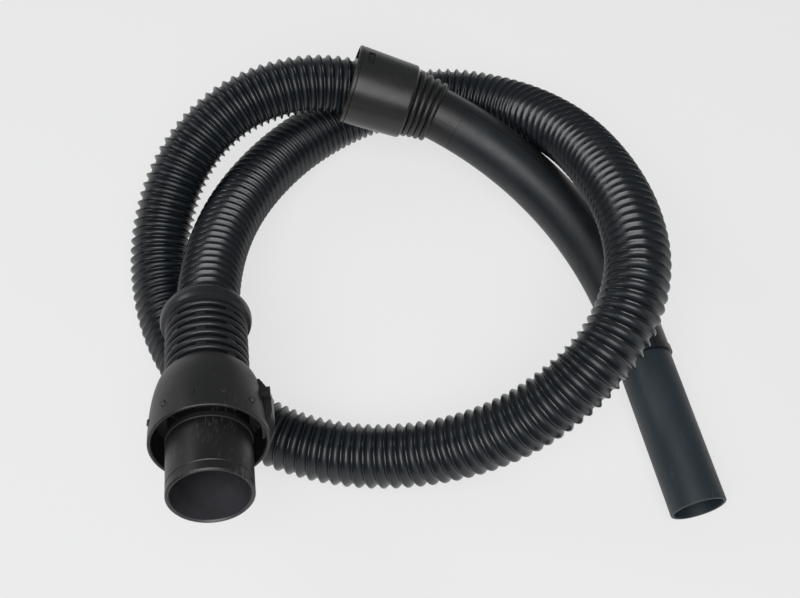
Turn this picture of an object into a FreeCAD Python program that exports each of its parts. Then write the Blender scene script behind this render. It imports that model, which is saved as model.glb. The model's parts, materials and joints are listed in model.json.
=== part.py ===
import FreeCAD
import Part
import math
import os

# Suction hose of a tub vacuum cleaner, lying loosely looped on the floor.
# The machine end carries a bell-shaped bayonet-style connector with a rocker latch, the other end a
# curved hand grip with a bleed slider and a straight tube end.
# Millimetres, +Z up. The origin is on the floor, under the middle of the box round the fittings.
# Connector pieces are drawn about their own Z axis, which points out of the inlet mouth, and their
# stations are measured back from that mouth. Handle pieces are drawn along one centreline, whose
# stations are measured from the open face of the swivel collar.

V = FreeCAD.Vector

# ---------------------------------------------------------------- hose and its route
HOSE_R = 20.0
HOSE_BORE_R = 17.2
ARC_SHARE = 0.45

# ---------------------------------------------------------------- where the two ends lie
CONNECTOR_AT = V(-129, -169, 102)
CONNECTOR_TURN = 8.0
CONNECTOR_RISE = 15.5
HANDLE_AT = V(-61.5, 148, 70.4)
HANDLE_TURN = 80.0
HANDLE_RISE = -15.5
HANDLE_ROLL = 4.7

# ---------------------------------------------------------------- general fits
FREE_GAP = 0.3
RUN_GAP = 0.05
SEAM_GAP = 0.4

# ---------------------------------------------------------------- machine end: hose cuff and sleeve
CUFF_WALL = 2.2
CUFF_START = 61.0
CUFF_END = 138.0
HOSE_STOP = 104.0
CUFF_HEAD_RISE = 2.4
CUFF_HEAD_END = 70.0
SEAL_START = 63.0
SEAL_WIDTH = 3.0
SEAL_DEPTH = 1.4
SLEEVE_WALL = 3.1
SLEEVE_START = 78.0
SLEEVE_END = 144.0
FLARE_RISE = 3.1
FLARE_AT = 130.5
FLARE_WIDTH = 8.0
SLOT_ROWS = 7
SLOT_FIRST = 86.0
SLOT_PITCH = 6.2
SLOT_WIDTH = 3.0
SLOT_INSET = 0.2
RIB_HEIGHT = 1.3
SLOTS_PER_ROW = 4
SLOT_ARC = 76.0

# ---------------------------------------------------------------- machine end: connector
SPIGOT_R = 24.6
SPIGOT_WALL = 2.3
SPIGOT_SEAT_END = 36.0
SPIGOT_STEP = 1.1
INLET_SEAL_GAP = 0.6
INLET_SEAL_PROUD = 0.3
MOUTH_BAND = 6.0
BAND_GROOVE = 0.4
INLET_SEAL_WIDTH = 4.0
FLANGE_AT = 56.0
FLANGE_THICK = 3.0
HOUSING_WALL = 2.5
HOUSING_END = 76.0
RING_AT = 72.0
RING_WIDTH = 3.0
RING_GROOVE = 1.0
BELL_ROOM = 4.9
BELL_WALL = 2.2
BELL_RIM_AT = 37.0
BELL_END = 83.0
NECK_EDGE = 0.8
WEB_THICK = 1.6
WEB_START = 45.0
WEB_ANGLES = (45.0, 135.0, 225.0, 315.0)
PIP_R = 2.7
PIP_TAPER = 0.9
PIP_SINK = 1.2
PIP_HEIGHT = 0.8
PIP_AT = 48.0
PIP_FIRST = 36.0
PIP_STEP = 31.0
PIP_COUNT = 9

# ---------------------------------------------------------------- latch on the connector
LATCH_WIDTH = 14.4
LATCH_SLOT_START = 41.0
LATCH_SLOT_END = 76.0
PIVOT_AT = 62.0
PIVOT_OUT = 1.4
PIN_R = 1.5
PIN_RECESS = 0.6
EAR_THICK = 2.6
SPRING_WIRE_R = 0.35
SPRING_COIL_R = 2.1
SPRING_PITCH = 0.9
SPRING_TURNS = 2.75
SPRING_LEG = 6.0

# ---------------------------------------------------------------- handle: collar and swivel
COLLAR_LENGTH = 44.0
COLLAR_MOUTH_R = 27.7
COLLAR_TAPER = 1.5
COLLAR_WALL = 3.4
COLLAR_END_WALL = 2.0
COLLAR_EDGE_R = 2.4
NECK_WALL = 4.1
HANDLE_RING_START = 5.0
HANDLE_RING_END = 17.4
HANDLE_CUFF_START = 18.0
HANDLE_HOSE_STOP = 38.0
HANDLE_CUFF_END = 39.6
HANDLE_CUFF_WALL = 1.8
HANDLE_HEAD_WIDTH = 4.0
HANDLE_SEAL_AT = 32.0
WINDOW_AT = 6.4
WINDOW_LENGTH = 4.5
WINDOW_WIDTH = 12.0
WINDOW_ANGLES = (262.0, 82.0)

# ---------------------------------------------------------------- handle: grip and tube end
SOCKET_BEND_R = 100.0
SOCKET_SWEEP = 13.6
GRIP_BEND_R = 224.0
GRIP_SWEEP = 53.4
TAIL_LENGTH = 129.0
GRIP_R = 18.6
GRIP_WALL = 1.7
RIDGE_FIRST = COLLAR_LENGTH + 3.0
RIDGE_PITCH = 5.2
RIDGE_COUNT = 4
RIDGE_R = 24.0
RIDGE_STEP_DOWN = 0.7
RIDGE_HEIGHT = 2.2
RIDGE_HALF_WIDTH = 2.1
RIDGE_SINK = 0.6
SOCKET_END = COLLAR_LENGTH + 22.0
INNER_SHELL_START = COLLAR_LENGTH + 40.0
GRIP_END = 302.0
GRIP_RING_WIDTH = 4.0
GRIP_RING_RISE = 0.7
DUCT_R = 15.6
DUCT_WALL = 1.4
DUCT_END = 285.7
TUBE_R = 17.75
TUBE_BORE_R = 15.8
TUBE_INSERT = 16.0
TUBE_INSERT_R = 17.2
EDGE = 0.8

# ---------------------------------------------------------------- handle: bleed slider
SLIDER_START = 170.0
SLIDER_END = 215.0
SLIDER_TRAVEL = 10.0
SLIDER_HALF_ARC = 34.0
SLIDER_SKIN = 1.7
SLIDER_RISE = 3.6
SLIDER_RIBS = 5
SLIDER_RIB_PITCH = 5.0
SLIDER_RIB_WIDTH = 2.4
FOOT_START = 186.0
FOOT_END = 205.0
FOOT_HALF_WIDTH = 3.7
FOOT_FLANGE_ARC = 22.0
VENT_R = 3.2
VENT_AT = 175.0

# ---------------------------------------------------------------- radii that follow
CUFF_R = HOSE_R + CUFF_WALL
CUFF_HEAD_R = CUFF_R + CUFF_HEAD_RISE
HOUSING_BORE_R = CUFF_HEAD_R + FREE_GAP + 0.1
HOUSING_R = HOUSING_BORE_R + HOUSING_WALL
SLEEVE_R = CUFF_R + SLEEVE_WALL
BELL_NECK_BORE_R = SLEEVE_R + FREE_GAP
BELL_RIM_BORE_R = HOUSING_R + BELL_ROOM
HANDLE_CUFF_R = HOSE_R + HANDLE_CUFF_WALL
COLLAR_BORE_R = COLLAR_MOUTH_R - COLLAR_WALL
GRIP_BORE_R = GRIP_R - GRIP_WALL
NECK_R = GRIP_BORE_R + NECK_WALL


# ================================================================ drawing helpers
def frame(origin, along, across):
    """Placement whose Z runs along one direction and whose X lies towards another."""
    return FreeCAD.Placement(origin, FreeCAD.Rotation(across, along.cross(across), along, "ZXY"))


def direction(turn, rise):
    """Unit vector turned from -Y towards +X, and raised above the floor."""
    flat = math.cos(math.radians(rise))
    east = math.sin(math.radians(turn)) * flat
    south = math.cos(math.radians(turn)) * flat
    return V(east, -south, math.sin(math.radians(rise)))


def outline_face(outline, sense=1):
    """Flat face in the XZ plane from (radius, station) points; a pair of points is an arc's middle and end."""
    edges = []
    here = outline[0]
    for item in outline[1:] + [outline[0]]:
        if isinstance(item[0], tuple):
            middle, end = item
            points = [V(r, 0, sense * s) for r, s in (here, middle, end)]
            edges.append(Part.Arc(*points).toShape())
        else:
            end = item
            edges.append(Part.LineSegment(V(here[0], 0, sense * here[1]), V(end[0], 0, sense * end[1])).toShape())
        here = end
    return Part.Face(Part.Wire(edges))


def turned(outline, sense=1):
    """Solid turned about Z from an outline; sense -1 runs the stations along -Z."""
    return outline_face(outline, sense).revolve(V(), V(0, 0, 1), 360)


def turned_back(outline):
    """Solid turned about Z with stations running back from the mouth."""
    return turned(outline, -1)


def drum(radius, start, end, sense=1):
    """Plain cylinder about Z between two stations."""
    return Part.makeCylinder(radius, end - start, V(0, 0, sense * start), V(0, 0, sense))


def block(low, high):
    """Box between two corners."""
    size = high - low
    return Part.makeBox(size.x, size.y, size.z, low)


def around_z(shape, angle):
    """Copy turned about Z."""
    turned_copy = shape.copy()
    turned_copy.rotate(V(), V(0, 0, 1), angle)
    return turned_copy


def sector(outer_r, inner_r, middle, half):
    """Flat ring sector in the XY plane, between two radii, half an angle each side of its middle."""
    angles = [math.radians(middle + share * half) for share in (-1, 0, 1)]
    outer = [V(outer_r * math.cos(a), outer_r * math.sin(a), 0) for a in angles]
    inner = [V(inner_r * math.cos(a), inner_r * math.sin(a), 0) for a in angles]
    edges = [
        Part.Arc(*outer).toShape(),
        Part.LineSegment(outer[2], inner[2]).toShape(),
        Part.Arc(inner[2], inner[1], inner[0]).toShape(),
        Part.LineSegment(inner[0], outer[0]).toShape(),
    ]
    return Part.Face(Part.Wire(edges))


def disc(radius):
    """Flat disc in the XY plane."""
    return Part.Face(Part.Wire(Part.makeCircle(radius)))


def strip(low_x, high_x, half_y):
    """Flat rectangle in the XY plane."""
    corners = [V(low_x, -half_y, 0), V(high_x, -half_y, 0), V(high_x, half_y, 0), V(low_x, half_y, 0)]
    return Part.Face(Part.makePolygon(corners + [corners[0]]))


def joined(shapes):
    """One solid from several that touch or overlap."""
    whole = shapes[0]
    for shape in shapes[1:]:
        whole = whole.fuse(shape)
    return whole.removeSplitter()


# ================================================================ hose
def connector_point(station):
    """Point on the connector's axis."""
    return CONNECTOR_AT - direction(CONNECTOR_TURN, CONNECTOR_RISE) * station


def collar_point(station):
    """Point on the swivel collar's axis."""
    return HANDLE_AT + direction(HANDLE_TURN, HANDLE_RISE) * station


def hose_route():
    """Corner points of the hose from the machine end to the handle."""
    return [
        connector_point(HOSE_STOP),
        connector_point(156),
        V(-147, 39, 44),
        V(-130, 90, 31),
        V(-98, 137, 21),
        V(-51, 169, 20),
        V(5, 182, 20),
        V(57, 161, 30),
        V(90, 115, 58),
        V(108, 64, 83),
        V(118, 15, 100),
        V(118, -31, 108),
        V(103, -70, 104),
        V(75, -97, 86),
        V(38, -112, 57),
        V(-10, -116, 31),
        V(-64, -112, 20),
        V(-116, -95, 20),
        V(-158, -58, 20),
        V(-184, -10, 20),
        V(-191, 41, 35),
        V(-177, 88, 57),
        V(-146, 122, 73),
        V(-103, 142, 77),
        collar_point(1.4),
        collar_point(HANDLE_HOSE_STOP),
    ]


def tube_path(points):
    """Straight runs joined by tangent arcs, each as large as its two runs allow."""
    edges = []
    start = points[0]
    for index in range(1, len(points) - 1):
        before = points[index] - points[index - 1]
        after = points[index + 1] - points[index]
        turn = before.getAngle(after)
        reach = ARC_SHARE * min(before.Length, after.Length)
        radius = reach / math.tan(turn / 2)
        print("bend %d: radius %.0f mm, run %.0f mm" % (index, radius, before.Length))
        before.normalize()
        after.normalize()
        first = points[index] - before * reach
        last = points[index] + after * reach
        inward = (after - before).normalize()
        middle = points[index] + inward * (radius / math.cos(turn / 2) - radius)
        edges.append(Part.LineSegment(start, first).toShape())
        edges.append(Part.Arc(first, middle, last).toShape())
        start = last
    edges.append(Part.LineSegment(start, points[-1]).toShape())
    return Part.Wire(edges)


def make_hose():
    """Plain round tube of the hose's outer diameter along its whole route."""
    points = hose_route()
    path = tube_path(points)
    section = Part.Wire(Part.makeCircle(HOSE_R, points[0], points[1] - points[0]))
    tube = path.makePipeShell([section], True, True)
    expected = math.pi * HOSE_R ** 2 * path.Length
    print("hose length %.0f mm, volume over section times length %.4f" % (path.Length, tube.Volume / expected))
    return tube


# ================================================================ machine end, on the hose
def make_machine_cuff():
    """Cuff screwed on the hose end, with the swivel head that turns inside the connector."""
    groove_r = CUFF_HEAD_R - SEAL_DEPTH
    return turned_back([
        (HOSE_BORE_R, CUFF_START),
        (CUFF_HEAD_R - EDGE, CUFF_START),
        (CUFF_HEAD_R, CUFF_START + EDGE),
        (CUFF_HEAD_R, SEAL_START),
        (groove_r, SEAL_START),
        (groove_r, SEAL_START + SEAL_WIDTH),
        (CUFF_HEAD_R, SEAL_START + SEAL_WIDTH),
        (CUFF_HEAD_R, CUFF_HEAD_END),
        (CUFF_R, CUFF_HEAD_END),
        (CUFF_R, CUFF_END),
        (HOSE_R, CUFF_END),
        (HOSE_R, HOSE_STOP),
        (HOSE_BORE_R, HOSE_STOP),
    ])


def make_machine_seal():
    """Square ring in the cuff head's groove, running in the connector's housing."""
    inner = CUFF_HEAD_R - SEAL_DEPTH
    outer = HOUSING_BORE_R - RUN_GAP
    end = SEAL_START + SEAL_WIDTH
    return turned_back([(inner, SEAL_START), (outer, SEAL_START), (outer, end), (inner, end)])


def make_sleeve():
    """Bend relief sleeve over the cuff: slotted barrel, flared ring and rounded lip."""
    flare_end = FLARE_AT + FLARE_WIDTH
    tail_r = CUFF_R + 1.9
    groove_r = SLEEVE_R - RIB_HEIGHT
    ribs = []
    for row in range(SLOT_ROWS):
        groove = SLOT_FIRST + row * SLOT_PITCH
        ribs.append((groove_r, groove + SLOT_WIDTH))
        ribs.append(((SLEEVE_R, groove + (SLOT_WIDTH + SLOT_PITCH) / 2), (groove_r, groove + SLOT_PITCH)))
    barrel = turned_back([
        (CUFF_R, SLEEVE_START),
        (SLEEVE_R - EDGE, SLEEVE_START),
        (SLEEVE_R, SLEEVE_START + EDGE),
        (SLEEVE_R, SLOT_FIRST - EDGE),
        (groove_r, SLOT_FIRST),
    ] + ribs + [
        (SLEEVE_R + FLARE_RISE - EDGE, FLARE_AT),
        ((SLEEVE_R + FLARE_RISE, FLARE_AT + FLARE_WIDTH / 2), (SLEEVE_R + FLARE_RISE - EDGE, flare_end)),
        (tail_r, SLEEVE_END - 2.5),
        ((tail_r - 0.7, SLEEVE_END), (CUFF_R + 0.4, SLEEVE_END - 0.6)),
        (CUFF_R, SLEEVE_END - 2.0),
    ])
    cut_width = SLOT_WIDTH - 2 * SLOT_INSET
    wedge = sector(SLEEVE_R + 5, CUFF_R - 1, 0, SLOT_ARC / 2).extrude(V(0, 0, cut_width))
    for row in range(SLOT_ROWS):
        station = SLOT_FIRST + row * SLOT_PITCH
        stagger = 45.0 * (row % 2)
        for place in range(SLOTS_PER_ROW):
            cutter = around_z(wedge, stagger + place * 360.0 / SLOTS_PER_ROW)
            cutter.translate(V(0, 0, -station - SLOT_INSET - cut_width))
            barrel = barrel.cut(cutter)
    return barrel


# ================================================================ machine end, connector
def bell_radius(station, rim_r, neck_r, end):
    """Bell's dome: widest at the rim, closing on the neck as (1 - t squared) to the power 0.6."""
    share = (station - BELL_RIM_AT) / (end - BELL_RIM_AT)
    return neck_r + (rim_r - neck_r) * max(0.0, 1.0 - share * share) ** 0.6


def bell_inner_radius(station):
    """Inside of the bell's wall."""
    return bell_radius(station, BELL_RIM_BORE_R, BELL_NECK_BORE_R, BELL_END - BELL_WALL)


def bell_outer_radius(station):
    """Outside of the bell's wall."""
    rim_r = BELL_RIM_BORE_R + BELL_WALL
    return bell_radius(station, rim_r, BELL_NECK_BORE_R + NECK_EDGE, BELL_END)


def dome_curve(radius_at, end, steps=9):
    """Smooth curve through the dome's radii, closer together towards the neck."""
    stations = [BELL_RIM_AT + (end - BELL_RIM_AT) * math.sin(math.pi / 2 * i / steps) for i in range(steps + 1)]
    curve = Part.BSplineCurve()
    curve.interpolate([V(radius_at(s), 0, -s) for s in stations])
    return curve.toShape()


def make_spigot():
    """Inlet tube with its mouth band, flange, stiffening webs and the housing of the swivel."""
    bore = SPIGOT_R - SPIGOT_WALL
    stem = SPIGOT_R - SPIGOT_STEP
    flange_end = FLANGE_AT + FLANGE_THICK
    flange_r = bell_inner_radius(flange_end) - RUN_GAP
    web_r = bell_inner_radius(FLANGE_AT) - RUN_GAP
    groove_r = HOUSING_BORE_R + RING_GROOVE
    ring_end = RING_AT + RING_WIDTH
    body = turned_back([
        (bore + 0.6, 0),
        ((bore + SPIGOT_WALL / 2 + 0.1, -0.3), (SPIGOT_R - 0.6, 0)),
        (SPIGOT_R, 0.7),
        (SPIGOT_R, MOUTH_BAND - BAND_GROOVE),
        (SPIGOT_R - BAND_GROOVE, MOUTH_BAND),
        (SPIGOT_R - BAND_GROOVE, MOUTH_BAND + BAND_GROOVE),
        (SPIGOT_R, MOUTH_BAND + 2 * BAND_GROOVE),
        (SPIGOT_R, SPIGOT_SEAT_END),
        (stem, SPIGOT_SEAT_END),
        (stem, FLANGE_AT),
        (flange_r, FLANGE_AT),
        (flange_r, flange_end),
        (HOUSING_R, flange_end),
        (HOUSING_R, HOUSING_END),
        (HOUSING_BORE_R, HOUSING_END),
        (HOUSING_BORE_R, ring_end),
        (groove_r, ring_end),
        (groove_r, RING_AT),
        (HOUSING_BORE_R, RING_AT),
        (HOUSING_BORE_R, CUFF_START - 1),
        (bore, CUFF_START - 1),
        (bore, 0.7),
    ])
    web = block(V(stem - 0.5, -WEB_THICK / 2, -FLANGE_AT), V(web_r, WEB_THICK / 2, -WEB_START))
    return joined([body] + [around_z(web, angle) for angle in WEB_ANGLES])


def make_inlet_seal():
    """Rubber band behind the spigot's seat, just proud of it."""
    stem = SPIGOT_R - SPIGOT_STEP
    outer = SPIGOT_R + INLET_SEAL_PROUD
    start = SPIGOT_SEAT_END + INLET_SEAL_GAP
    end = start + INLET_SEAL_WIDTH
    return turned_back([
        (stem, start),
        (outer - 0.5, start),
        (outer, start + 0.5),
        (outer, end - 0.5),
        (outer - 0.5, end),
        (stem, end),
    ])


def make_machine_ring():
    """Split ring snapped into the housing's groove, which keeps the cuff head in."""
    outer = HOUSING_BORE_R + RING_GROOVE
    inner = CUFF_R + FREE_GAP + 0.1
    end = RING_AT + RING_WIDTH
    ring = turned_back([(inner, RING_AT), (outer, RING_AT), (outer, end), (inner, end)])
    split = block(V(-1.5, -outer - 1, -end - 1), V(1.5, -inner + 3, -RING_AT + 1))
    return ring.cut(split)


def pivot_radius():
    """Distance of the latch's pivot from the connector's axis."""
    return bell_outer_radius(PIVOT_AT) + PIVOT_OUT


def pivot_drum(radius, half_width):
    """Cylinder on the latch's pivot axis."""
    return Part.makeCylinder(radius, 2 * half_width, V(pivot_radius(), -half_width, -PIVOT_AT), V(0, 1, 0))


def make_shroud():
    """Bell-shaped shell with the latch's slot, the pivot's two ears and the raised pips."""
    rim_out = bell_outer_radius(BELL_RIM_AT)
    outer = dome_curve(bell_outer_radius, BELL_END)
    inner = dome_curve(bell_inner_radius, BELL_END - BELL_WALL)
    neck_line = Part.makePolygon([
        V(BELL_NECK_BORE_R + NECK_EDGE, 0, -BELL_END),
        V(BELL_NECK_BORE_R, 0, -BELL_END),
        V(BELL_NECK_BORE_R, 0, -BELL_END + BELL_WALL),
    ])
    rim_arc = Part.Arc(
        V(BELL_RIM_BORE_R, 0, -BELL_RIM_AT),
        V((rim_out + BELL_RIM_BORE_R) / 2, 0, -BELL_RIM_AT + 0.8),
        V(rim_out, 0, -BELL_RIM_AT),
    ).toShape()
    loop = Part.Wire(Part.__sortEdges__([outer, inner, rim_arc] + neck_line.Edges))
    shell = Part.Face(loop).revolve(V(), V(0, 0, 1), 360)
    half_slot = LATCH_WIDTH / 2 + FREE_GAP
    pips = []
    for index in range(PIP_COUNT):
        root = V(bell_outer_radius(PIP_AT) - PIP_SINK, 0, -PIP_AT)
        pip = Part.makeCone(PIP_R, PIP_R - PIP_TAPER, PIP_SINK + PIP_HEIGHT, root, V(1, 0, 0))
        pips.append(around_z(pip, PIP_FIRST + index * PIP_STEP))
    ear_out = pivot_radius() + PIN_R + 1.2
    ear = block(V(BELL_RIM_BORE_R - 3.5, half_slot, -PIVOT_AT - 3.4), V(ear_out, half_slot + EAR_THICK, -PIVOT_AT + 3.4))
    other_ear = ear.mirror(V(), V(0, 1, 0))
    keep_out = drum(HOUSING_R + 0.2, FLANGE_AT, HOUSING_END, -1)
    body = joined([shell, ear.cut(keep_out), other_ear.cut(keep_out)] + pips)
    slot = block(V(SPIGOT_R, -half_slot, -LATCH_SLOT_END), V(ear_out + 9, half_slot, -LATCH_SLOT_START))
    return body.cut(slot).cut(pivot_drum(PIN_R, half_slot + EAR_THICK + 1))


def latch_profile():
    """Side view of the rocker: hook at the front, raised pad, press arm behind the pivot."""
    pad = pivot_radius() + 3.4
    front = LATCH_SLOT_START + 0.4
    rear = LATCH_SLOT_END - 1.0
    under_front = BELL_RIM_BORE_R + 0.6
    return [
        (under_front - 2.6, front),
        (pad - 3.2, front),
        ((pad - 1.2, front + 3.6), (pad, front + 8.5)),
        (pad, PIVOT_AT + 0.5),
        ((pad - 2.6, PIVOT_AT + 6.5), (bell_outer_radius(rear) + 1.3, rear)),
        (bell_outer_radius(rear) - 0.3, rear),
        (bell_outer_radius(PIVOT_AT + 7), PIVOT_AT + 6),
        (bell_outer_radius(PIVOT_AT) - 0.4, PIVOT_AT),
        (under_front, PIVOT_AT - 5),
        (under_front, front + 4.4),
        (under_front - 2.6, front + 2.8),
    ]


def make_latch():
    """Rocker latch lever that follows the bell's roundness."""
    half = LATCH_WIDTH / 2
    body = turned_back(latch_profile())
    body = body.common(block(V(0, -half, -LATCH_SLOT_END), V(60, half, -LATCH_SLOT_START + 1)))
    body = body.cut(pivot_drum(PIN_R + RUN_GAP, half + 1))
    pocket_half = SPRING_PITCH * SPRING_TURNS / 2 + SPRING_WIRE_R + 0.5
    return body.cut(pivot_drum(SPRING_COIL_R + SPRING_WIRE_R + 0.45, pocket_half))


def make_latch_pin():
    """Steel pin pressed through the two ears."""
    return pivot_drum(PIN_R, LATCH_WIDTH / 2 + FREE_GAP + EAR_THICK - PIN_RECESS)


def make_latch_spring():
    """Torsion spring round the pin, one leg under the front arm, one pointing inwards."""
    rise = SPRING_PITCH * SPRING_TURNS
    helix = Part.makeHelix(SPRING_PITCH, rise, SPRING_COIL_R)
    start_edge = helix.Edges[0]
    end_edge = helix.Edges[-1]
    first = start_edge.valueAt(start_edge.FirstParameter)
    first_way = start_edge.tangentAt(start_edge.FirstParameter)
    last = end_edge.valueAt(end_edge.LastParameter)
    last_way = end_edge.tangentAt(end_edge.LastParameter)
    section = Part.Wire(Part.makeCircle(SPRING_WIRE_R, first, first_way))
    coil = Part.Wire(helix).makePipeShell([section], True, True)
    inward_leg = Part.makeCylinder(SPRING_WIRE_R, SPRING_LEG / 2, first, first_way * -1)
    front_leg = Part.makeCylinder(SPRING_WIRE_R, SPRING_LEG, last, last_way)
    spring = joined([coil, inward_leg, front_leg])
    spring.translate(V(0, 0, -rise / 2))
    spring.rotate(V(), V(0, 0, 1), -90)
    spring.rotate(V(), V(1, 0, 0), -90)
    spring.translate(V(pivot_radius(), 0, -PIVOT_AT))
    return spring


# ================================================================ handle, swivel collar
def make_handle_cuff():
    """Cuff on the hose's handle end, with the head that the swivel ring keeps in the collar."""
    head_r = COLLAR_BORE_R - FREE_GAP
    head_end = HANDLE_CUFF_START + HANDLE_HEAD_WIDTH
    return turned([
        (HOSE_R, HANDLE_CUFF_START),
        (head_r, HANDLE_CUFF_START),
        (head_r, head_end),
        (HANDLE_CUFF_R, head_end),
        (HANDLE_CUFF_R, HANDLE_CUFF_END),
        (HOSE_BORE_R, HANDLE_CUFF_END),
        (HOSE_BORE_R, HANDLE_HOSE_STOP),
        (HOSE_R, HANDLE_HOSE_STOP),
    ])


def make_handle_seal():
    """Lip ring on the handle cuff, running in the collar's bore."""
    outer = COLLAR_BORE_R - RUN_GAP
    end = HANDLE_SEAL_AT + SEAL_WIDTH
    return turned([
        (HANDLE_CUFF_R, HANDLE_SEAL_AT),
        (outer - 0.8, HANDLE_SEAL_AT),
        (outer, HANDLE_SEAL_AT + 1.0),
        (outer, end),
        (HANDLE_CUFF_R, end),
    ])


def window_block(outer_r, clearance):
    """Radial block of a snap window or of the tab that fills it, about the X axis."""
    low = V(COLLAR_BORE_R - 1.0, -WINDOW_WIDTH / 2 + clearance, WINDOW_AT + clearance)
    high = V(outer_r, WINDOW_WIDTH / 2 - clearance, WINDOW_AT + WINDOW_LENGTH - clearance)
    return block(low, high)


def make_handle_ring():
    """Retaining ring whose two tabs snap into the collar's windows."""
    inner = HANDLE_CUFF_R + FREE_GAP + 0.1
    start = HANDLE_RING_START
    end = HANDLE_RING_END
    ring = turned([(inner, start), (COLLAR_BORE_R, start), (COLLAR_BORE_R, end), (inner, end)])
    tab = window_block(COLLAR_BORE_R + COLLAR_WALL, FREE_GAP)
    tab = tab.common(drum(COLLAR_MOUTH_R - 1.0, 0, COLLAR_LENGTH))
    return joined([ring] + [around_z(tab, angle) for angle in WINDOW_ANGLES])


def make_collar():
    """Swivel collar: tapered cup with a bead line, a rounded edge and two snap windows."""
    end_r = COLLAR_MOUTH_R - COLLAR_TAPER
    slope = COLLAR_TAPER / COLLAR_LENGTH
    bead = 3.0
    bead_r = COLLAR_MOUTH_R - bead * slope
    fillet = COLLAR_EDGE_R
    corner = fillet * (1 - math.sqrt(0.5))
    cup = turned([
        (COLLAR_BORE_R + 1.2, 0),
        (COLLAR_MOUTH_R - EDGE, 0),
        (COLLAR_MOUTH_R, EDGE),
        (bead_r, bead - 0.4),
        (bead_r - 0.4, bead),
        (bead_r, bead + 0.4),
        (end_r, COLLAR_LENGTH - fillet),
        ((end_r - corner, COLLAR_LENGTH - corner), (end_r - fillet, COLLAR_LENGTH)),
        (NECK_R, COLLAR_LENGTH),
        (NECK_R, COLLAR_LENGTH - COLLAR_END_WALL),
        (COLLAR_BORE_R, COLLAR_LENGTH - COLLAR_END_WALL),
        (COLLAR_BORE_R, HANDLE_RING_START),
        (COLLAR_BORE_R + 1.2, HANDLE_RING_START - 1.0),
    ])
    window = window_block(COLLAR_MOUTH_R + 2, 0)
    for angle in WINDOW_ANGLES:
        cup = cup.cut(around_z(window, angle))
    return cup


# ================================================================ handle, curved grip
SOCKET_ARC_END = COLLAR_LENGTH + SOCKET_BEND_R * math.radians(SOCKET_SWEEP)
GRIP_ARC_END = SOCKET_ARC_END + GRIP_BEND_R * math.radians(GRIP_SWEEP)
HANDLE_LENGTH = GRIP_ARC_END + TAIL_LENGTH
STRETCHES = (
    (0.0, COLLAR_LENGTH, 0.0),
    (COLLAR_LENGTH, SOCKET_ARC_END, SOCKET_BEND_R),
    (SOCKET_ARC_END, GRIP_ARC_END, GRIP_BEND_R),
    (GRIP_ARC_END, HANDLE_LENGTH, 0.0),
)


def station_frame(station):
    """Point, heading and inward normal of the handle's centreline."""
    point = V()
    heading = V(0, 0, 1)
    inward = V(1, 0, 0)
    for low, high, bend in STRETCHES:
        run = min(station, high) - low
        if run <= 0:
            break
        if bend:
            angle = run / bend
            point = point + heading * (bend * math.sin(angle)) + inward * (bend * (1 - math.cos(angle)))
            new_heading = heading * math.cos(angle) + inward * math.sin(angle)
            inward = inward * math.cos(angle) - heading * math.sin(angle)
            heading = new_heading
        else:
            point = point + heading * run
    return point, heading, inward


def at_station(shape, station):
    """Shape drawn about the origin, moved to a station of the handle."""
    point, heading, inward = station_frame(station)
    moved = shape.copy()
    moved.Placement = frame(point, heading, inward).multiply(moved.Placement)
    return moved


def along(section, start, end):
    """Solid made by carrying a flat section along the handle's centreline."""
    pieces = []
    for low, high, bend in STRETCHES:
        first = max(start, low)
        last = min(end, high)
        if last - first < 0.001:
            continue
        point, heading, inward = station_frame(first)
        face = at_station(section, first)
        if bend:
            pieces.append(face.revolve(point + inward * bend, V(0, 1, 0), math.degrees((last - first) / bend)))
        else:
            pieces.append(face.extrude(heading * (last - first)))
    return joined(pieces)


def slider_pivot():
    """Centre of the grip's bend, about which the bleed slider moves."""
    point, heading, inward = station_frame(SOCKET_ARC_END)
    return point + inward * GRIP_BEND_R


def vent_drill():
    """Radial drill through the outer side of the grip, where the bleed slider covers it."""
    return at_station(Part.makeCylinder(VENT_R, GRIP_R + 4, V(), V(-1, 0, 0)), VENT_AT)


def tube_seat():
    """Room for the tube end inside the two grip shells."""
    return along(disc(TUBE_INSERT_R), GRIP_END - TUBE_INSERT - FREE_GAP, GRIP_END + 1)


def ridge(radius):
    """One round-crested ridge of the socket."""
    root = radius - RIDGE_HEIGHT - RIDGE_SINK
    half = RIDGE_HALF_WIDTH
    return turned([(0, -half), (root, -half), ((radius, 0), (root, half)), (0, half)])


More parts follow.
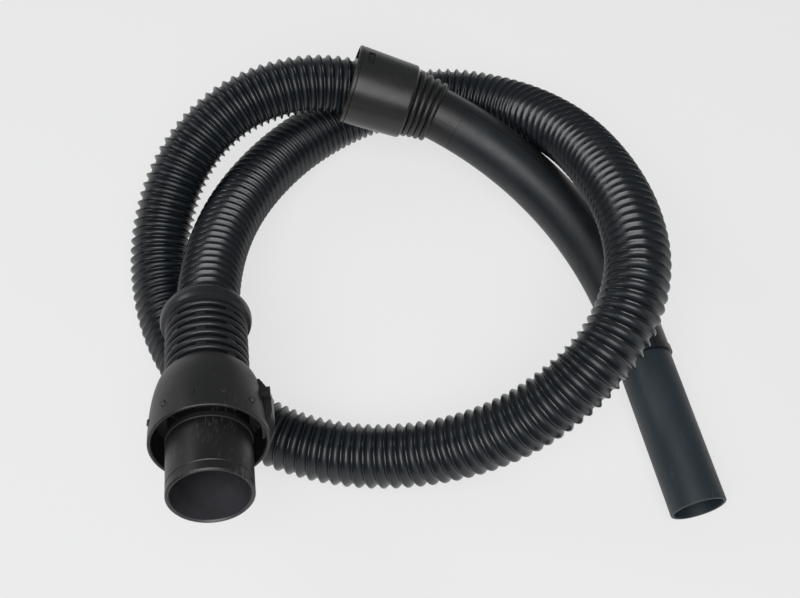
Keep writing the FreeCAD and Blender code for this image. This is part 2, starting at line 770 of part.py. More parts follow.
def make_outer_shell():
    """Ridged socket and the outer half of the grip in one moulding."""
    neck = turned([
        (0, COLLAR_LENGTH - COLLAR_END_WALL - 1.8),
        (COLLAR_BORE_R - 0.5, COLLAR_LENGTH - COLLAR_END_WALL - 1.8),
        (COLLAR_BORE_R - 0.5, COLLAR_LENGTH - COLLAR_END_WALL),
        (NECK_R, COLLAR_LENGTH - COLLAR_END_WALL),
        (NECK_R, COLLAR_LENGTH + 0.5),
        (0, COLLAR_LENGTH + 0.5),
    ])
    solids = [neck]
    for index in range(RIDGE_COUNT):
        middle = RIDGE_FIRST + index * RIDGE_PITCH
        radius = RIDGE_R - index * RIDGE_STEP_DOWN
        low = COLLAR_LENGTH if index == 0 else middle - RIDGE_PITCH / 2
        solids.append(along(disc(radius - RIDGE_HEIGHT), low, middle + RIDGE_PITCH / 2))
        solids.append(at_station(ridge(radius), middle))
    solids.append(along(disc(GRIP_R), SOCKET_END - 2, GRIP_END))
    solids.append(along(disc(GRIP_R + GRIP_RING_RISE), GRIP_END - GRIP_RING_WIDTH, GRIP_END))
    shell = joined(solids)
    shell = shell.cut(along(strip(0, GRIP_R + 9, GRIP_R + 9), INNER_SHELL_START - FREE_GAP / 2, GRIP_END + 1))
    shell = shell.cut(along(disc(GRIP_BORE_R), 30, GRIP_END + 1))
    shell = shell.cut(tube_seat())
    slot = along(strip(-GRIP_R - 2, -GRIP_BORE_R + 2, FOOT_HALF_WIDTH + FREE_GAP), FOOT_START - FREE_GAP,
                 FOOT_END + SLIDER_TRAVEL + FREE_GAP)
    return shell.cut(slot).cut(vent_drill())


def make_inner_shell():
    """Inner half of the grip, a separate smooth moulding."""
    barrel = along(disc(GRIP_R), INNER_SHELL_START, GRIP_END)
    ring = along(disc(GRIP_R + GRIP_RING_RISE), GRIP_END - GRIP_RING_WIDTH, GRIP_END)
    shell = joined([barrel, ring])
    shell = shell.cut(along(strip(-GRIP_R - 9, SEAM_GAP, GRIP_R + 9), INNER_SHELL_START - 1, GRIP_END + 1))
    return shell.cut(along(disc(GRIP_BORE_R), 30, GRIP_END + 1)).cut(tube_seat())


def make_duct():
    """Curved air duct inside the grip, seated in it by a ring at each end."""
    tube = along(disc(DUCT_R), SOCKET_END, DUCT_END)
    seat = along(disc(GRIP_BORE_R), SOCKET_END, SOCKET_END + 4)
    far_seat = along(disc(GRIP_BORE_R), DUCT_END - 4, DUCT_END)
    bore = along(disc(DUCT_R - DUCT_WALL), SOCKET_END - 1, DUCT_END + 1)
    return joined([tube, seat, far_seat]).cut(bore).cut(vent_drill())


def make_slider():
    """Bleed slider: skin over the grip, gripping ribs, and a foot that hooks under the shell."""
    skin_r = GRIP_R + FREE_GAP + SLIDER_SKIN
    middle = (SLIDER_START + SLIDER_END) / 2
    pieces = [along(sector(skin_r, GRIP_R + FREE_GAP, 180, SLIDER_HALF_ARC), SLIDER_START, SLIDER_END)]
    for index in range(SLIDER_RIBS):
        rib = middle + (index - (SLIDER_RIBS - 1) / 2) * SLIDER_RIB_PITCH - SLIDER_RIB_WIDTH / 2
        face = sector(GRIP_R + SLIDER_RISE + FREE_GAP, skin_r - 0.3, 180, SLIDER_HALF_ARC - 8)
        pieces.append(along(face, rib, rib + SLIDER_RIB_WIDTH))
    flange_r = GRIP_BORE_R - FREE_GAP
    pieces.append(along(strip(-GRIP_R - 1, -flange_r + 0.3, FOOT_HALF_WIDTH), FOOT_START, FOOT_END))
    pieces.append(along(sector(flange_r, DUCT_R + FREE_GAP, 180, FOOT_FLANGE_ARC), FOOT_START - 2, FOOT_END + 2))
    return joined(pieces)


def make_end_tube():
    """Straight tube end that a wand or a tool is pushed on."""
    start = GRIP_END - TUBE_INSERT
    outline = [
        (TUBE_BORE_R, start),
        (TUBE_INSERT_R, start),
        (TUBE_INSERT_R, GRIP_END + FREE_GAP),
        (TUBE_R, GRIP_END + FREE_GAP),
        (TUBE_R, HANDLE_LENGTH - EDGE),
        ((TUBE_R - EDGE * 0.3, HANDLE_LENGTH - EDGE * 0.3), (TUBE_R - EDGE, HANDLE_LENGTH)),
        (TUBE_BORE_R + 0.3, HANDLE_LENGTH),
        (TUBE_BORE_R, HANDLE_LENGTH - 0.5),
    ]
    return at_station(turned([shift_arc(item, -start) for item in outline]), start)


def shift_arc(item, by):
    """Outline item with its stations moved."""
    if isinstance(item[0], tuple):
        return tuple((r, s + by) for r, s in item)
    return (item[0], item[1] + by)


# ================================================================ placing and writing
def connector_frame():
    """Connector's place: Z out of the mouth, X level towards the latch."""
    turn = math.radians(CONNECTOR_TURN)
    return frame(CONNECTOR_AT, direction(CONNECTOR_TURN, CONNECTOR_RISE), V(math.cos(turn), math.sin(turn), 0))


def handle_frame():
    """Handle's place: Z along the collar, X towards the inside of the grip's bend."""
    heading = direction(HANDLE_TURN, HANDLE_RISE)
    side = heading.cross(V(0, 0, 1)).normalize()
    up = side.cross(heading)
    roll = math.radians(HANDLE_ROLL)
    return frame(HANDLE_AT, heading, side * math.cos(roll) + up * math.sin(roll))


def build():
    """Every node by name, in its place."""
    connector = {
        "inlet_spigot": make_spigot,
        "inlet_seal": make_inlet_seal,
        "connector_shroud": make_shroud,
        "machine_swivel_ring": make_machine_ring,
        "latch_lever": make_latch,
        "latch_pin": make_latch_pin,
        "latch_spring": make_latch_spring,
        "machine_hose_cuff": make_machine_cuff,
        "machine_swivel_seal": make_machine_seal,
        "bend_relief_sleeve": make_sleeve,
    }
    handle = {
        "handle_hose_cuff": make_handle_cuff,
        "handle_swivel_seal": make_handle_seal,
        "handle_swivel_ring": make_handle_ring,
        "swivel_collar": make_collar,
        "grip_outer_shell": make_outer_shell,
        "grip_inner_shell": make_inner_shell,
        "suction_duct": make_duct,
        "bleed_slider": make_slider,
        "end_tube": make_end_tube,
    }
    nodes = {"vacuum_hose": make_hose()}
    for makers, place in ((connector, connector_frame()), (handle, handle_frame())):
        for name, maker in makers.items():
            shape = maker()
            shape.Placement = place.multiply(shape.Placement)
            nodes[name] = shape
    return nodes


def main():
    """Write one STEP file per node."""
    os.makedirs("parts", exist_ok=True)
    for name, shape in build().items():
        print("%-22s valid %s, solids %d, %.1f cm3" % (name, shape.isValid(), len(shape.Solids), shape.Volume / 1000))
        shape.exportStep("parts/%s.step" % name)


main()
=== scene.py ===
import json
import logging
import math
from dataclasses import dataclass, field, replace
from enum import Enum

import bpy
import numpy as np
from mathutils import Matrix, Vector


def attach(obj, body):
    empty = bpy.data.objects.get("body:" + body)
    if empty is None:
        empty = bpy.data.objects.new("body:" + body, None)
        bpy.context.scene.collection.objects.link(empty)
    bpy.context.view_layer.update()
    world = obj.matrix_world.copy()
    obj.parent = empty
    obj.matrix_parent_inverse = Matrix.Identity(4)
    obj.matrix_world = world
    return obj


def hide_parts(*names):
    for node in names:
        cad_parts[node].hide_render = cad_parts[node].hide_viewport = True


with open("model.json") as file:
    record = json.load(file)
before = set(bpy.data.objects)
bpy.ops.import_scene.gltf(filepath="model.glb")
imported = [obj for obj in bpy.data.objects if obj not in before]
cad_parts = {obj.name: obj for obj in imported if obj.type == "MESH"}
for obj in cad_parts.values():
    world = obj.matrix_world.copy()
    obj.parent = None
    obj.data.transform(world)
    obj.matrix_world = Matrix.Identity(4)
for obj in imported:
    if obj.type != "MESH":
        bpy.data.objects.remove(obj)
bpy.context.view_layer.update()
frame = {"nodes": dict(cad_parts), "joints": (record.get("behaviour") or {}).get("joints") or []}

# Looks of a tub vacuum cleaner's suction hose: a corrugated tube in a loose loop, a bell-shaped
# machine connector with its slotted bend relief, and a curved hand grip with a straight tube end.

MM = 0.001
LOG = logging.getLogger("vacuum_hose")


# ---------------------------------------------------------------- small tools
def linear(shade: str) -> tuple[float, float, float, float]:
    """Turns an sRGB hex shade to linear colour.

    Args:
        shade: six hex digits, such as "17171a".

    Returns:
        Red, green, blue and alpha for a shader's socket.
    """
    parts = [int(shade[i:i + 2], 16) / 255 for i in (0, 2, 4)]
    bright = [c / 12.92 if c <= 0.04045 else ((c + 0.055) / 1.055) ** 2.4 for c in parts]
    return (bright[0], bright[1], bright[2], 1.0)


def add_node(tree: bpy.types.NodeTree, kind: str, settings: dict | None = None,
             links: dict | None = None) -> bpy.types.Node:
    """Adds a node with its settings and its incoming links.

    Args:
        tree: the material's node tree.
        kind: the node's type name.
        settings: attribute names, or input names and numbers, with their values.
        links: input names or numbers with the output socket that feeds each.

    Returns:
        The new node.
    """
    node = tree.nodes.new(kind)
    for key, value in (settings or {}).items():
        if isinstance(key, str) and hasattr(node, key):
            setattr(node, key, value)
        else:
            node.inputs[key].default_value = value
    for key, socket in (links or {}).items():
        tree.links.new(socket, node.inputs[key])
    return node


def grid_faces(rows: int, columns: int, offset: int = 0, flip: bool = False) -> np.ndarray:
    """Quads of a grid that is open along its rows and closed round its columns.

    Args:
        rows: rings along the piece.
        columns: points round each ring.
        offset: index of the first point.
        flip: True turns the faces the other way.

    Returns:
        An array of four point numbers a face.
    """
    row, column = np.meshgrid(np.arange(rows - 1), np.arange(columns), indexing="ij")
    after = (column + 1) % columns
    quads = np.stack([row * columns + column, row * columns + after,
                      (row + 1) * columns + after, (row + 1) * columns + column], axis=-1)
    quads = quads.reshape(-1, 4) + offset
    return quads[:, ::-1] if flip else quads


def mesh_piece(name: str, points: np.ndarray, faces: np.ndarray) -> bpy.types.Object:
    """Makes a smooth-shaded piece from arrays.

    Args:
        name: the piece's name.
        points: one row of x, y, z in metres a point.
        faces: one row of four point numbers a face.

    Returns:
        The linked object, at the origin.
    """
    mesh = bpy.data.meshes.new(name)
    mesh.from_pydata(points.tolist(), [], faces.tolist())
    mesh.polygons.foreach_set("use_smooth", np.ones(len(mesh.polygons), bool))
    mesh.update()
    piece = bpy.data.objects.new(name, mesh)
    bpy.context.scene.collection.objects.link(piece)
    return piece


@dataclass(frozen=True)
class Axis:
    """A straight axis in space, and the distance from it that matters to a finish."""

    at: tuple[float, float, float]
    along: tuple[float, float, float]
    radius: float = 0.0

    @classmethod
    def of_joint(cls, name: str, radius: float = 0.0) -> "Axis":
        """Takes a joint's axis from the frame.

        Args:
            name: the joint's name.
            radius: distance from the axis in metres.

        Returns:
            The axis.
        """
        joint = next(joint for joint in frame["joints"] if joint["name"] == name)
        return cls(tuple(joint["pos_m"]), tuple(joint["axis"]), radius)

    def measure(self, tree: bpy.types.NodeTree, place: bpy.types.NodeSocket) -> tuple:
        """Adds nodes that measure a point's height along the axis and its distance from it.

        Args:
            tree: the material's node tree.
            place: the point's coordinates.

        Returns:
            The sockets of the height and of the distance.
        """
        away = add_node(tree, "ShaderNodeVectorMath", {"operation": "SUBTRACT", 1: self.at},
                        {0: place}).outputs[0]
        height = add_node(tree, "ShaderNodeVectorMath", {"operation": "DOT_PRODUCT", 1: self.along},
                          {0: away}).outputs["Value"]
        rise = add_node(tree, "ShaderNodeVectorMath", {"operation": "SCALE", 0: self.along},
                        {"Scale": height}).outputs[0]
        across = add_node(tree, "ShaderNodeVectorMath", {"operation": "SUBTRACT"},
                          {0: away, 1: rise}).outputs[0]
        distance = add_node(tree, "ShaderNodeVectorMath", {"operation": "LENGTH"},
                            {0: across}).outputs["Value"]
        return height, distance


def blank_material(name: str) -> tuple:
    """Starts a material with no nodes but the Object coordinates.

    Args:
        name: the material's name.

    Returns:
        The material, its node tree and the socket of the Object coordinates.
    """
    made = bpy.data.materials.new(name)
    made.use_nodes = True
    tree = made.node_tree
    tree.nodes.clear()
    return made, tree, add_node(tree, "ShaderNodeTexCoord").outputs["Object"]


# ---------------------------------------------------------------- finishes
class Grain(Enum):
    """How a moulding's surface was cut in the tool."""

    STIPPLE = "spark eroded tool"
    LENGTHWISE = "fine lines along the piece"


@dataclass(frozen=True)
class Moulding:
    """Injection moulded polypropylene: near black, satin, with scuffs, and dust and painted light in an air
    way.

    The tool's grain gives the fine bump, use gives thin pale scuffs and slow roughness patches.
    """

    name: str
    shade: str = "151517"
    worn: str = "2c2c30"
    roughness: float = 0.42
    grain: Grain = Grain.STIPPLE
    grain_mm: float = 0.6
    bump: float = 0.08
    scuffs: float = 0.5
    bend: Axis | None = None
    airway: Axis | None = None
    # Lighter grey for the bore of an air way: dust and painted light, standing in for the light that enters
    # the bore.
    dust_and_painted_light: str = "434348"

    def relief(self, tree: bpy.types.NodeTree, place: bpy.types.NodeSocket) -> bpy.types.NodeSocket:
        """Height of the tool's grain: a stipple, or lines that run round the bend's axis.

        Args:
            tree: the material's node tree.
            place: the point's coordinates.

        Returns:
            The height's socket.
        """
        if self.grain is Grain.STIPPLE or self.bend is None:
            return add_node(tree, "ShaderNodeTexNoise", {"Scale": 1 / (self.grain_mm * MM), "Detail": 2.0},
                            {"Vector": place}).outputs["Fac"]
        height, distance = self.bend.measure(tree, place)
        flat = add_node(tree, "ShaderNodeCombineXYZ", {}, {0: height, 1: distance}).outputs[0]
        return add_node(tree, "ShaderNodeTexNoise", {"Scale": 0.8 / (self.grain_mm * MM), "Detail": 1.0},
                        {"Vector": flat}).outputs["Fac"]

    def dust_and_light_airway(self, tree: bpy.types.NodeTree, place: bpy.types.NodeSocket,
               colour: bpy.types.NodeSocket, cloudy: bpy.types.NodeSocket) -> bpy.types.NodeSocket:
        """Lays fine grey dust and painted light in the air way: a lighter grey, standing in for the light
        that enters the bore, where a point is nearer the axis than the radius.

        Args:
            tree: the material's node tree.
            place: the point's coordinates.
            colour: the clean plastic's colour.
            cloudy: the slow noise that thins the dust and the painted light.

        Returns:
            The colour's socket.
        """
        if self.airway is None:
            return colour
        distance = self.airway.measure(tree, place)[1]
        inside = add_node(tree, "ShaderNodeMath", {"operation": "LESS_THAN", 1: self.airway.radius},
                          {0: distance}).outputs[0]
        amount = add_node(tree, "ShaderNodeMapRange", {"From Min": 0.25, "From Max": 0.75, "To Min": 0.45},
                          {"Value": cloudy}).outputs[0]
        share = add_node(tree, "ShaderNodeMath", {"operation": "MULTIPLY"}, {0: inside, 1: amount}).outputs[0]
        mixed = add_node(tree, "ShaderNodeMix", {"data_type": "RGBA"}, {"Factor": share})
        mixed.inputs[7].default_value = linear(self.dust_and_painted_light)
        tree.links.new(colour, mixed.inputs[6])
        return mixed.outputs[2]

    def material(self) -> bpy.types.Material:
        """Builds the procedural material.

        Returns:
            The material: cloudy roughness, thin pale scuffs in patches, the grain as bump and, in an
            air way, dust and painted light that lightens the bore.
        """
        made, tree, place = blank_material(self.name)
        cloudy = add_node(tree, "ShaderNodeTexNoise", {"Scale": 38.0, "Detail": 5.0, "Roughness": 0.6},
                          {"Vector": place}).outputs["Fac"]
        scratch_place = add_node(tree, "ShaderNodeMapping", {"Scale": (160.0, 22.0, 60.0),
                                 "Rotation": (0.3, 0.2, 0.55)}, {"Vector": place}).outputs[0]
        scratch = add_node(tree, "ShaderNodeTexNoise", {"Scale": 6.0, "Detail": 3.0, "Distortion": 0.6},
                           {"Vector": scratch_place}).outputs["Fac"]
        thin = add_node(tree, "ShaderNodeMapRange", {"From Min": 0.55, "From Max": 0.63,
                        "To Max": self.scuffs}, {"Value": scratch}).outputs[0]
        patch = add_node(tree, "ShaderNodeMapRange", {"From Min": 0.5, "From Max": 0.72},
                         {"Value": cloudy}).outputs[0]
        wear = add_node(tree, "ShaderNodeMath", {"operation": "MULTIPLY"}, {0: thin, 1: patch}).outputs[0]
        colour = add_node(tree, "ShaderNodeMix", {"data_type": "RGBA"}, {"Factor": wear})
        colour.inputs[6].default_value = linear(self.shade)
        colour.inputs[7].default_value = linear(self.worn)
        rough = add_node(tree, "ShaderNodeMapRange", {"From Min": 0.3, "From Max": 0.7,
                         "To Min": self.roughness - 0.07, "To Max": self.roughness + 0.09},
                         {"Value": cloudy}).outputs[0]
        normal = add_node(tree, "ShaderNodeBump", {"Strength": self.bump, "Distance": 0.0003},
                          {"Height": self.relief(tree, place)}).outputs[0]
        # In an air way the bore is painted a lighter grey: dust and painted light that stands in for the
        # light entering the bore.
        shown = self.dust_and_light_airway(tree, place, colour.outputs[2], cloudy)
        shader = add_node(tree, "ShaderNodeBsdfPrincipled", {"IOR": 1.49},
                          {"Base Color": shown, "Roughness": rough, "Normal": normal})
        add_node(tree, "ShaderNodeOutputMaterial", {}, {"Surface": shader.outputs[0]})
        return made


@dataclass(frozen=True)
class BlownTube:
    """Blow moulded polyethylene hose: glossy round crests, dusty duller valleys.

    The piece's own crest attribute says how high a point stands between valley and crest.
    """

    name: str = "Blow_moulded_polyethylene"
    shade: str = "0c1014"
    dust_and_painted_light: str = "20262b"

    def material(self) -> bpy.types.Material:
        """Builds the procedural material from the crest attribute and Object coordinates."""
        made, tree, place = blank_material(self.name)
        crest = add_node(tree, "ShaderNodeAttribute", {"attribute_name": "crest"}).outputs["Fac"]
        cloudy = add_node(tree, "ShaderNodeTexNoise", {"Scale": 55.0, "Detail": 5.0},
                          {"Vector": place}).outputs["Fac"]
        low = add_node(tree, "ShaderNodeMapRange", {"From Min": 0.75, "From Max": 0.0},
                       {"Value": crest}).outputs[0]
        dusty = add_node(tree, "ShaderNodeMath", {"operation": "MULTIPLY"}, {0: low, 1: cloudy}).outputs[0]
        colour = add_node(tree, "ShaderNodeMix", {"data_type": "RGBA"}, {"Factor": dusty})
        colour.inputs[6].default_value = linear(self.shade)
        colour.inputs[7].default_value = linear(self.dust_and_painted_light)
        rough = add_node(tree, "ShaderNodeMapRange", {"From Min": 0.0, "From Max": 0.8, "To Min": 0.2,
                         "To Max": 0.5}, {"Value": dusty}).outputs[0]
        fine = add_node(tree, "ShaderNodeTexNoise", {"Scale": 700.0, "Detail": 3.0},
                        {"Vector": place}).outputs["Fac"]
        normal = add_node(tree, "ShaderNodeBump", {"Strength": 0.12, "Distance": 0.0004},
                          {"Height": fine}).outputs[0]
        shader = add_node(tree, "ShaderNodeBsdfPrincipled", {"IOR": 1.5},
                          {"Base Color": colour.outputs[2], "Roughness": rough, "Normal": normal})
        add_node(tree, "ShaderNodeOutputMaterial", {}, {"Surface": shader.outputs[0]})
        return made


@dataclass(frozen=True)
class DrawnSteel:
    """Drawn spring steel wire or a pin, oiled black, with fine drawing lines."""

    name: str = "Blackened_spring_steel"
    shade: str = "55565a"
    roughness: float = 0.38

    def material(self) -> bpy.types.Material:
        """Builds the metal; the fine noise is the drawing lines."""
        made, tree, place = blank_material(self.name)
        lines = add_node(tree, "ShaderNodeTexNoise", {"Scale": 1500.0, "Detail": 2.0},
                         {"Vector": place}).outputs["Fac"]
        rough = add_node(tree, "ShaderNodeMapRange", {"To Min": self.roughness - 0.08,
                         "To Max": self.roughness + 0.1}, {"Value": lines}).outputs[0]
        normal = add_node(tree, "ShaderNodeBump", {"Strength": 0.1, "Distance": 0.0001},
                          {"Height": lines}).outputs[0]
        shader = add_node(tree, "ShaderNodeBsdfPrincipled",
                          {"Base Color": linear(self.shade), "Metallic": 1.0},
                          {"Roughness": rough, "Normal": normal})
        add_node(tree, "ShaderNodeOutputMaterial", {}, {"Surface": shader.outputs[0]})
        return made


def dress(node: str, material: bpy.types.Material) -> None:
    """Gives a carried-over CAD node its finish.

    Args:
        node: the node's name.
        material: its finish.
    """
    mesh = frame["nodes"][node].data
    mesh.materials.clear()
    mesh.materials.append(material)
    LOG.info("dressed %s in %s", node, material.name)


# ---------------------------------------------------------------- hose
@dataclass(frozen=True)
class Pull:
    """A stretch of the hose that lies pulled out, or pushed together where extra is negative."""

    at: float
    width: float
    extra: float


@dataclass
class CorrugatedHose:
    """The hose itself: helical corrugations carried along one smooth line, open at both ends."""

    diameter: float = 0.040
    crest_r: float = 0.0201
    valley_r: float = 0.0176
    bore_r: float = 0.0168
    pitch: float = 0.0059
    crest_sharpness: float = 1.9
    rings_per_pitch: int = 11
    columns: int = 36
    rings_per_bore_ring: int = 10
    bore_crest: float = 0.4
    line_samples: int = 6000
    smoothed_samples: int = 81
    pulls: tuple["Pull", ...] = (
        Pull(0.00, 0.07, 0.0008), Pull(0.25, 0.05, -0.0007), Pull(0.435, 0.045, 0.0013),
        Pull(0.57, 0.13, 0.0006), Pull(0.80, 0.11, 0.0014), Pull(0.975, 0.03, -0.0005))
    route: list[tuple[float, float, float]] = field(default_factory=lambda: [
        (-0.14295, -0.06976, 0.07421), (-0.14992, -0.02013, 0.06031), (-0.147, 0.039, 0.044),
        (-0.130, 0.090, 0.031), (-0.098, 0.137, 0.021), (-0.051, 0.169, 0.020), (0.005, 0.182, 0.020),
        (0.057, 0.161, 0.030), (0.090, 0.115, 0.058), (0.108, 0.064, 0.083), (0.118, 0.015, 0.100),
        (0.118, -0.031, 0.108), (0.103, -0.070, 0.104), (0.075, -0.097, 0.086), (0.038, -0.112, 0.057),
        (-0.010, -0.116, 0.031), (-0.064, -0.112, 0.020), (-0.116, -0.095, 0.020), (-0.158, -0.058, 0.020),
        (-0.184, -0.010, 0.020), (-0.191, 0.041, 0.035), (-0.177, 0.088, 0.057), (-0.146, 0.122, 0.073),
        (-0.103, 0.142, 0.077), (-0.06017, 0.14777, 0.07003), (-0.02544, 0.14164, 0.06024)])

    def centreline(self) -> np.ndarray:
        """Reads the smooth line that the route's points control.

        Returns:
            Points along the line, in metres.
        """
        curve = bpy.data.curves.new("hose_route", "CURVE")
        curve.dimensions = "3D"
        curve.resolution_u = 16
        spline = curve.splines.new("NURBS")
        spline.points.add(len(self.route) - 1)
        spline.points.foreach_set("co", [value for point in self.route for value in (*point, 1.0)])
        spline.order_u = 3
        spline.use_endpoint_u = True
        holder = bpy.data.objects.new("hose_route", curve)
        line = bpy.data.meshes.new_from_object(holder)
        points = np.empty(len(line.vertices) * 3)
        line.vertices.foreach_get("co", points)
        bpy.data.objects.remove(holder)
        bpy.data.curves.remove(curve)
        bpy.data.meshes.remove(line)
        return points.reshape(-1, 3)

    def turns(self, run: np.ndarray) -> np.ndarray:
        """Corrugations counted from the start: the sum of step / pitch.

        The pitch is the resting pitch plus extra * exp(-((run - at) / width) squared) for each pull.

        Args:
            run: evenly spaced arc lengths in metres.

        Returns:
            The count of corrugations at each arc length.
        """
        pulls = np.array([(pull.at, pull.width, pull.extra) for pull in self.pulls]).T[:, :, None]
        pitch = self.pitch + (pulls[2] * np.exp(-((run - pulls[0]) / pulls[1]) ** 2)).sum(axis=0)
        return np.concatenate([[0.0], np.cumsum(np.diff(run) / pitch[1:])])

    def sections(self, line: np.ndarray) -> tuple[np.ndarray, ...]:
        """Places along the line, equally many in every corrugation, with two directions across it.

        Args:
            line: points of the centreline.

        Returns:
            Corrugation counts, centres, and the two unit directions across.
        """
        steps = np.linalg.norm(np.diff(line, axis=0), axis=1)
        run = np.concatenate([[0.0], np.cumsum(steps)])
        fine = np.linspace(0.0, run[-1], self.line_samples)
        count = self.turns(fine)
        turns = np.linspace(0.0, count[-1], int(count[-1] * self.rings_per_pitch))
        smooth = np.stack([np.interp(fine, run, line[:, axis]) for axis in range(3)], axis=1)
        heading = np.gradient(smooth, axis=0)
        kernel = np.hanning(self.smoothed_samples)
        kernel = kernel / kernel.sum()
        margin = self.smoothed_samples // 2
        padded = np.pad(heading, ((margin, margin), (0, 0)), mode="edge")
        heading = np.stack([np.convolve(padded[:, axis], kernel, "valid") for axis in range(3)], axis=1)
        where = np.interp(turns, count, fine)
        centres = np.stack([np.interp(where, fine, smooth[:, axis]) for axis in range(3)], axis=1)
        heading = np.stack([np.interp(where, fine, heading[:, axis]) for axis in range(3)], axis=1)
        heading = heading / np.linalg.norm(heading, axis=1)[:, None]
        level = np.cross(heading, (0.0, 0.0, 1.0))
        level = level / np.linalg.norm(level, axis=1)[:, None]
        return turns, centres, level, np.cross(level, heading)

    def build(self) -> bpy.types.Object:
        """Outer wall, bore and the two end rings.

        The outer radius is valley + depth * w, where w is a half cosine of the helix's phase raised
        to the crest's sharpness, which narrows the crests and widens the valleys; the phase is the
        corrugation count in turns plus the angle round the tube.

        Returns:
            The hose, with the attribute crest: 1 on a crest and 0 in a valley.
        """
        line = self.centreline()
        turns, centres, level, upright = self.sections(line)
        rings = len(turns)
        angle = np.linspace(0.0, 2 * math.pi, self.columns, endpoint=False)
        phase = 2 * math.pi * turns[:, None] + angle[None, :]
        height = (0.5 + 0.5 * np.cos(phase)) ** self.crest_sharpness
        radius = self.valley_r + (self.crest_r - self.valley_r) * height
        around = (np.cos(angle)[None, :, None] * level[:, None, :]
                  + np.sin(angle)[None, :, None] * upright[:, None, :])
        outer = centres[:, None, :] + radius[:, :, None] * around
        inner_rows = np.linspace(0, rings - 1, rings // self.rings_per_bore_ring).astype(int)
        inner = centres[inner_rows, None, :] + self.bore_r * around[inner_rows]
        points = np.concatenate([outer.reshape(-1, 3), inner.reshape(-1, 3)])
        offset = rings * self.columns
        last = offset + (len(inner_rows) - 1) * self.columns
        column = np.arange(self.columns)
        after = (column + 1) % self.columns
        start_ring = np.stack([column, offset + column, offset + after, after], axis=1)
        end = (rings - 1) * self.columns
        end_ring = np.stack([end + after, last + after, last + column, end + column], axis=1)
        faces = np.concatenate([grid_faces(rings, self.columns), start_ring, end_ring,
                                grid_faces(len(inner_rows), self.columns, offset, True)])
        piece = mesh_piece("hose_corrugated_tube", points, faces)
        bore = np.full(len(inner_rows) * self.columns, self.bore_crest)
        crest = np.concatenate([height.reshape(-1), bore])
        attribute = piece.data.attributes.new("crest", "FLOAT", "POINT")
        attribute.data.foreach_set("value", crest.astype(np.float32))
        piece.data.materials.append(BlownTube().material())
        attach(piece, "hose_line")
        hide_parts("vacuum_hose")
        LOG.info("hose with %d rings", rings)
        return piece


# ---------------------------------------------------------------- fittings
@dataclass
class MachineEnd:
    """Bell connector, latch, swivel cuff and bend relief sleeve."""

    body: Moulding = Moulding("Moulded_polypropylene_connector", "191918", "4a4743", 0.42)
    sleeve: Moulding = Moulding("Moulded_soft_polypropylene_sleeve", "1a1b1e", "36363a", 0.36, scuffs=0.35)
    spigot: Moulding = Moulding("Moulded_polypropylene_inlet", "151414", "5a5652", 0.42, scuffs=0.8)
    hidden: Moulding = Moulding("Moulded_polypropylene_inner", "131315", "242428", 0.5, scuffs=0.2)
    rubber: Moulding = Moulding("Moulded_nitrile_rubber", "101011", "1c1c1e", 0.62, scuffs=0.1)
    spigot_middle_r: float = 0.0234

    def finish(self) -> None:
        """Dresses every node of the machine end."""
        body = self.body.material()
        sleeve = self.sleeve.material()
        hidden = self.hidden.material()
        rubber = self.rubber.material()
        steel = DrawnSteel().material()
        # The spigot's bore, nearer the axis than spigot_middle_r, is painted a lighter grey: dust and painted
        # light.
        airway = Axis.of_joint("connector_swivel", self.spigot_middle_r)
        dress("inlet_spigot", replace(self.spigot, airway=airway).material())
        for node in ("connector_shroud", "latch_lever"):
            dress(node, body)
        for node in ("machine_hose_cuff", "machine_swivel_ring"):
            dress(node, hidden)
        for node in ("inlet_seal", "machine_swivel_seal"):
            dress(node, rubber)
        for node in ("latch_pin", "latch_spring"):
            dress(node, steel)
        dress("bend_relief_sleeve", sleeve)


@dataclass
class HandleEnd:
    """Swivel collar, curved grip in two shells, bleed slider and straight tube end."""

    collar: Moulding = Moulding("Moulded_polypropylene_collar", "1f1f1e", "45443f", 0.32)
    outer: Moulding = Moulding("Moulded_polypropylene_grip_back", "161617", "2e2e31", 0.4, Grain.LENGTHWISE,
                               1.1, 0.5)
    inner: Moulding = Moulding("Moulded_polypropylene_grip_inside", "14191d", "30363b", 0.42)
    tube: Moulding = Moulding("Moulded_polypropylene_tube", "1f292f", "4a5157", 0.5)
    slider: Moulding = Moulding("Moulded_acetal_slider", "121214", "26262a", 0.4)

    def finish(self) -> None:
        """Dresses every node of the handle."""
        dress("swivel_collar", self.collar.material())
        dress("grip_outer_shell", replace(self.outer, bend=Axis.of_joint("bleed_slide")).material())
        dress("grip_inner_shell", self.inner.material())
        dress("end_tube", self.tube.material())
        dress("bleed_slider", self.slider.material())
        hidden = Moulding("Moulded_polypropylene_duct", "131315", "242428", 0.5).material()
        for node in ("suction_duct", "handle_hose_cuff", "handle_swivel_ring"):
            dress(node, hidden)
        dress("handle_swivel_seal", Moulding("Moulded_nitrile_lip_seal", "101011", "1c1c1e", 0.62).material())


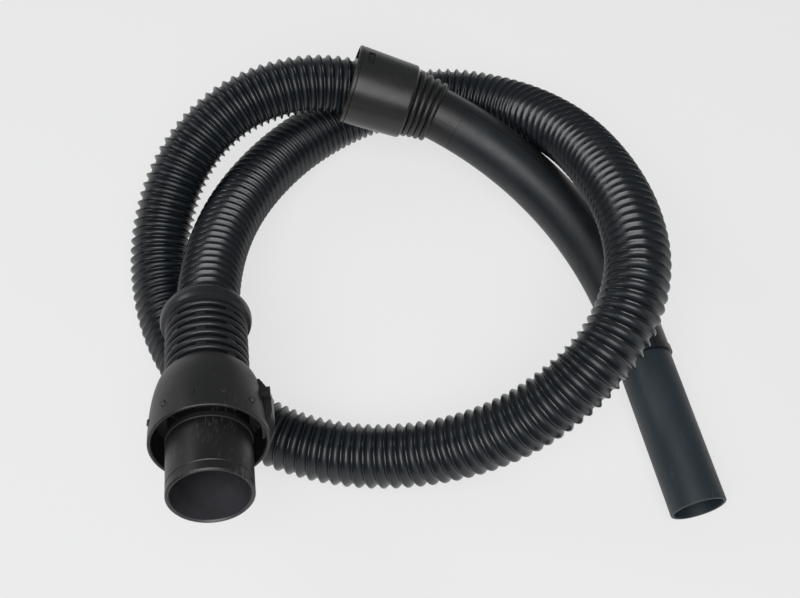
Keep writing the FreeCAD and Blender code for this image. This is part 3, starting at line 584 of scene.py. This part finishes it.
# ---------------------------------------------------------------- studio
@dataclass
class Studio:
    """Evenly lit pale table, one large soft box behind the camera and the camera over the loop."""

    camera_at: tuple[float, float, float] = (-0.026, -0.396, 0.710)
    look_down_deg: float = 60.0
    lens: float = 53.0
    floor_half: float = 4.0
    table_glow: float = 0.685

    def floor(self) -> None:
        """Plain pale light table, which keeps the shadows faint."""
        corners = np.array([(-1, -1, 0), (1, -1, 0), (1, 1, 0), (-1, 1, 0)], float) * self.floor_half
        floor = mesh_piece("studio_floor", corners, np.array([[0, 1, 2, 3]]))
        paint = bpy.data.materials.new("Light_table_opal_acrylic")
        paint.use_nodes = True
        shader = paint.node_tree.nodes["Principled BSDF"]
        shader.inputs["Base Color"].default_value = linear("6a6a6a")
        shader.inputs["Roughness"].default_value = 0.95
        shader.inputs["Specular IOR Level"].default_value = 0.1
        shader.inputs["Emission Color"].default_value = (1.0, 1.0, 1.0, 1.0)
        shader.inputs["Emission Strength"].default_value = self.table_glow
        floor.data.materials.append(paint)

    def light(self, name: str, at: tuple[float, float, float], size: float, power: float) -> None:
        """Square soft box aimed at the middle of the loop.

        Args:
            name: the lamp's name.
            at: its place in metres.
            size: its side in metres.
            power: its power in watts.
        """
        lamp = bpy.data.lights.new(name, "AREA")
        lamp.size = size
        lamp.energy = power
        holder = bpy.data.objects.new(name, lamp)
        holder.location = at
        holder.rotation_euler = (Vector((0.0, 0.0, 0.03)) - Vector(at)).to_track_quat("-Z", "Y").to_euler()
        bpy.context.scene.collection.objects.link(holder)

    def camera(self) -> None:
        """Camera that looks straight along +Y and down."""
        lens = bpy.data.cameras.new("camera")
        lens.lens = self.lens
        lens.sensor_width = 36.0
        holder = bpy.data.objects.new("camera", lens)
        holder.location = self.camera_at
        holder.rotation_euler = (math.radians(90 - self.look_down_deg), 0.0, 0.0)
        bpy.context.scene.collection.objects.link(holder)
        bpy.context.scene.camera = holder

    def build(self) -> None:
        """Sets the whole studio."""
        scene = bpy.context.scene
        scene.view_settings.view_transform = "Standard"
        world = bpy.data.worlds.new("soft_sky")
        world.use_nodes = True
        world.node_tree.nodes["Background"].inputs["Color"].default_value = (0.9, 0.95, 1.0, 1.0)
        world.node_tree.nodes["Background"].inputs["Strength"].default_value = 0.22
        scene.world = world
        self.camera()
        self.floor()
        self.light("softbox_front", (-0.10, -0.78, 1.30), 1.1, 20.0)
        self.light("softbox_left", (-1.1, 0.5, 1.0), 0.5, 4.0)


def main() -> None:
    """Builds the studio, the hose and the finishes."""
    logging.basicConfig(level=logging.INFO, format="%(name)s: %(message)s")
    Studio().build()
    CorrugatedHose().build()
    MachineEnd().finish()
    HandleEnd().finish()
    bpy.context.view_layer.update()


if __name__ == "__main__":
    main()
